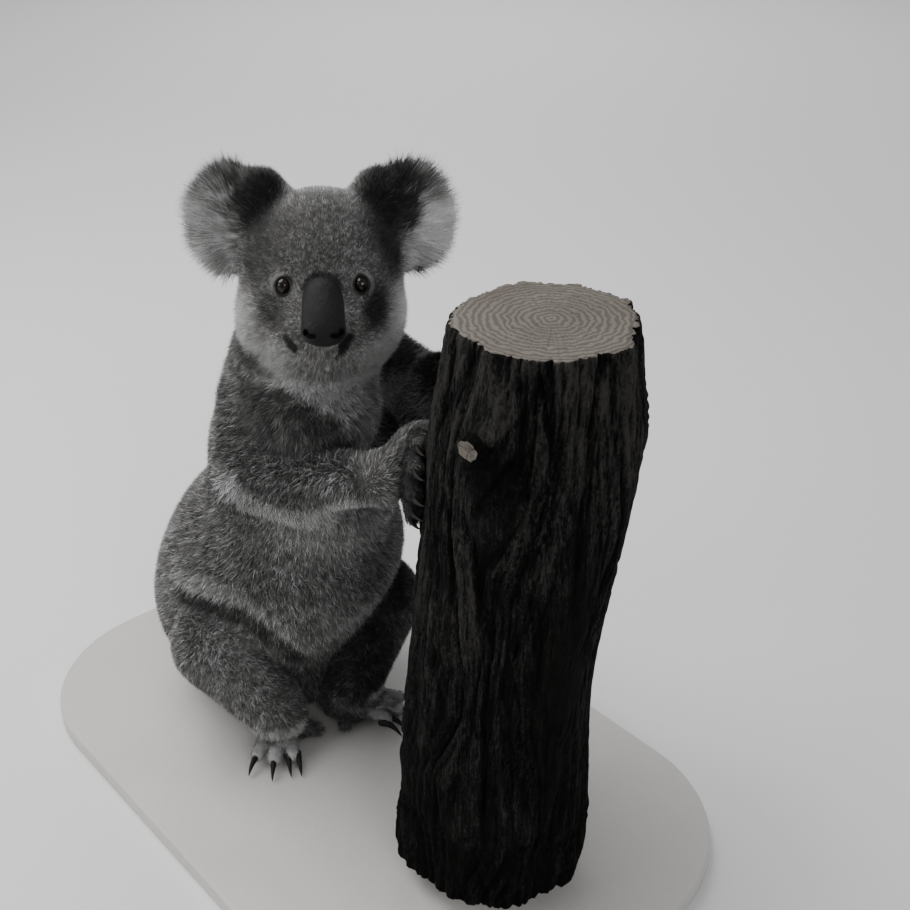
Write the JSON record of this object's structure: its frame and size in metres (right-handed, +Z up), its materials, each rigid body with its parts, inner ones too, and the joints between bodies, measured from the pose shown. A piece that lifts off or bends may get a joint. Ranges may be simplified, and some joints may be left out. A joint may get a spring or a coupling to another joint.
{
  "type": "koala",
  "caption": "Life-size still model of a koala sitting upright, arms reaching round a short cut post, head turned to its right, on a plain flat display base.",
  "frame": {"origin": "centre of the underside of the display base, on the floor", "axes": "+Z up; the koala's body faces -Y, towards the post, so its own right side is at -X; +Y runs from the post to the koala along the base's length"},
  "size_m": [0.38, 0.61, 0.5387],
  "materials": {
    "grey_fur": "dense short grey fur, pale at the tips",
    "pale_fur": "long soft whitish fur",
    "nose_skin": "fine-grained dark hairless skin, slightly moist",
    "eyes": "dark brown glass eye",
    "claws": "dark horn, satin",
    "bark": "deeply furrowed stringy bark, with sawn ends",
    "base_paint": "board painted matt warm grey",
    "rod_steel": "brushed"
  },
  "bodies": {
    "root": {"stand_base": "base_paint", "stand_rod_1": "rod_steel", "stand_rod_2": "rod_steel", "perch_post": "bark", "nose": "nose_skin", "eye_right": "eyes", "eye_left": "eyes", "head": "grey_fur", "ear_right": "pale_fur", "ear_left": "pale_fur", "neck": "pale_fur", "claw_hand_right_1": "claws", "claw_hand_right_2": "claws", "claw_hand_right_3": "claws", "claw_hand_right_4": "claws", "claw_hand_right_5": "claws", "hand_right": "grey_fur", "forearm_right": "grey_fur", "upper_arm_right": "grey_fur", "claw_foot_right_2": "claws", "claw_foot_right_3": "claws", "claw_foot_right_4": "claws", "claw_foot_right_5": "claws", "foot_right": "grey_fur", "shank_right": "grey_fur", "thigh_right": "grey_fur", "claw_hand_left_1": "claws", "claw_hand_left_2": "claws", "claw_hand_left_3": "claws", "claw_hand_left_4": "claws", "claw_hand_left_5": "claws", "hand_left": "grey_fur", "forearm_left": "grey_fur", "upper_arm_left": "grey_fur", "claw_foot_left_2": "claws", "claw_foot_left_3": "claws", "claw_foot_left_4": "claws", "claw_foot_left_5": "claws", "foot_left": "grey_fur", "shank_left": "grey_fur", "thigh_left": "grey_fur", "trunk": "grey_fur"}
  },
  "joints": []
}
